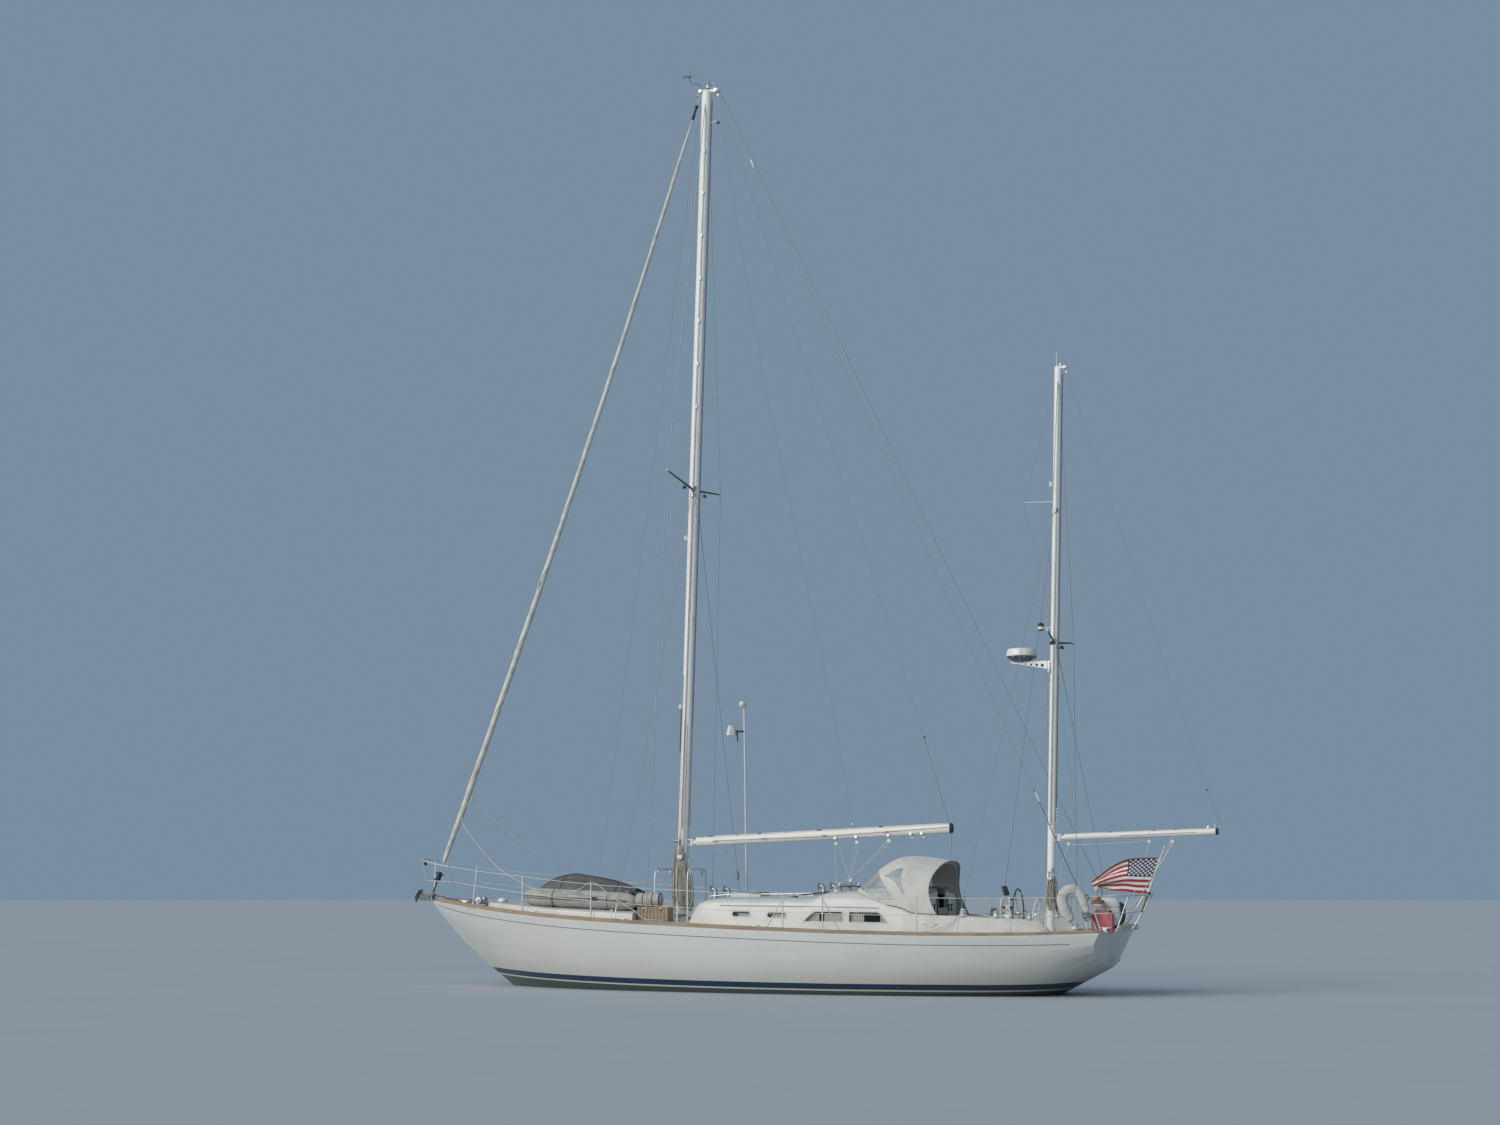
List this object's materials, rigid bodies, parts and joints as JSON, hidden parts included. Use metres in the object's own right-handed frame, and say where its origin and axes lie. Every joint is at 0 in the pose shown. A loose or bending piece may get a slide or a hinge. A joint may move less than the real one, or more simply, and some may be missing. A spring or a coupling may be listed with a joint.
{
  "type": "sailing yacht",
  "caption": "Cruising ketch with a long fin keel and skeg rudder, furled headsail, bare booms, cabin trunk, spray hood, aft cockpit with wheel, and a dinghy stowed on the foredeck.",
  "frame": {"origin": "amidships between the two ends of the waterline, on the centreline, at the water's surface", "axes": "bow toward -X, starboard +Y, up +Z"},
  "size_m": [15.5596, 3.6954, 19.3274],
  "materials": {
    "hull_gelcoat": "glossy off-white gelcoat with grey cove line and blue boot stripe",
    "deck_gelcoat": "satin white gelcoat with moulded non-slip",
    "window_glass": "polished, with light curtains behind",
    "hatch_acrylic": "smoked acrylic",
    "teak": "bare weathered teak",
    "varnished_wood": "varnished",
    "engine_iron": "painted block",
    "keel_iron": "matt grey-green antifouling over iron",
    "antifouling": "matt grey-green antifouling over laminate",
    "bronze": "bare bronze",
    "spar": "painted off-white",
    "wire": "stainless wire rope",
    "stainless": "polished tube",
    "galvanised": "dull galvanised",
    "sailcloth": "woven sailcloth, rolled",
    "canvas": "cream acrylic canvas with clear vinyl panes",
    "dinghy_fabric": "pale grey coated fabric",
    "dinghy_floor_fabric": "mid-grey coated fabric",
    "white_plastic": "satin white",
    "black_plastic": "satin black",
    "red_plastic": "sun-faded red polyethylene",
    "buoy_cover": "off-white coated cloth cover",
    "flag_cloth": "sewn nylon in red and white stripes with a blue union",
    "rope": "braided polyester"
  },
  "bodies": {
    "yacht": {"hull": "hull_gelcoat", "deck": "deck_gelcoat", "cabin_trunk": "deck_gelcoat", "side_windows_port": "window_glass", "side_windows_starboard": "window_glass", "washboard": "teak", "engine": "engine_iron", "keel": "keel_iron", "rudder_skeg": "antifouling", "shaft_strut": "bronze", "toe_rail_port": "teak", "toe_rail_starboard": "teak", "main_mast": "spar", "main_spreader_port": "spar", "main_spreader_starboard": "spar", "mizzen_mast": "spar", "mizzen_spreader_port": "spar", "mizzen_spreader_starboard": "spar", "main_shroud_port": "wire", "mizzen_shroud_port": "wire", "main_shroud_starboard": "wire", "mizzen_shroud_starboard": "wire", "backstay_port": "wire", "backstay_starboard": "wire", "furled_headsail": "sailcloth", "stem_fitting": "stainless", "furler_drum": "black_plastic", "anchor": "galvanised", "pulpit": "stainless", "pushpit": "stainless", "guard_rail_port": "stainless", "guard_rail_starboard": "stainless", "mast_hoop_forward": "stainless", "mast_hoop_aft": "stainless", "radar_dome": "white_plastic", "radar_bracket": "stainless", "aerial_pole": "white_plastic", "binnacle": "white_plastic", "dodger": "canvas", "dodger_frame": "stainless", "dinghy_tube": "dinghy_fabric", "dinghy_floor": "dinghy_floor_fabric", "traveller": "galvanised", "deck_box": "teak", "horseshoe_buoy": "buoy_cover", "fuel_can": "red_plastic", "outboard_motor": "white_plastic", "ensign_staff": "varnished_wood", "ensign": "flag_cloth", "jib_sheet_port": "rope", "jib_sheet_starboard": "rope"},
    "rudder_blade": {"rudder": "antifouling"},
    "screw": {"propeller": "bronze"},
    "main_boom_spar": {"main_boom": "spar"},
    "mizzen_boom_spar": {"mizzen_boom": "spar"},
    "helm_wheel": {"steering_wheel": "stainless"},
    "fore_hatch_leaf": {"fore_hatch_lid": "hatch_acrylic"},
    "sliding_hatch": {"companionway_hatch": "teak"},
    "port_locker_leaf": {"locker_lid_port": "deck_gelcoat"},
    "starboard_locker_leaf": {"locker_lid_starboard": "deck_gelcoat"}
  },
  "joints": [
    {"name": "rudder_turn", "type": "hinge", "parent": "yacht", "child": "rudder_blade", "pos_m": [4.93, 0, -0.6], "axis": [0, 0, 1], "range_deg": [-35, 35]},
    {"name": "wheel_turn", "type": "hinge", "parent": "yacht", "child": "helm_wheel", "pos_m": [4.555, 0, 1.4], "axis": [-1, 0, 0], "range_deg": [-355, 355]},
    {"name": "propeller_spin", "type": "hinge", "parent": "yacht", "child": "screw", "pos_m": [3.8, 0, -0.77], "axis": [0.9877, 0, -0.1564], "continuous": true},
    {"name": "main_boom_swing", "type": "hinge", "parent": "yacht", "child": "main_boom_spar", "pos_m": [-1.65908, 0, 2.69408], "axis": [0.0297, 0, 0.9996], "range_deg": [-60, 60]},
    {"name": "mizzen_boom_swing", "type": "hinge", "parent": "yacht", "child": "mizzen_boom_spar", "pos_m": [5.31912, 0, 2.73405], "axis": [0.0349, 0, 0.9994], "range_deg": [-45, 45]},
    {"name": "fore_hatch_hinge", "type": "hinge", "parent": "yacht", "child": "fore_hatch_leaf", "pos_m": [-0.775, 0, 1.7265], "axis": [0, -1, 0], "range_deg": [0, 100]},
    {"name": "companionway_slide", "type": "slide", "parent": "yacht", "child": "sliding_hatch", "axis": [-1, 0, 0], "range_m": [0, 0.6]},
    {"name": "locker_hinge_port", "type": "hinge", "parent": "yacht", "child": "port_locker_leaf", "pos_m": [4.05, -0.918, 0.9806], "axis": [1, 0, 0], "range_deg": [0, 90]},
    {"name": "locker_hinge_starboard", "type": "hinge", "parent": "yacht", "child": "starboard_locker_leaf", "pos_m": [4.05, 0.918, 0.9806], "axis": [-1, 0, 0], "range_deg": [0, 90]}
  ],
  "couplings": [
    {"joint": "wheel_turn", "follows": "rudder_turn", "ratio": 10}
  ]
}
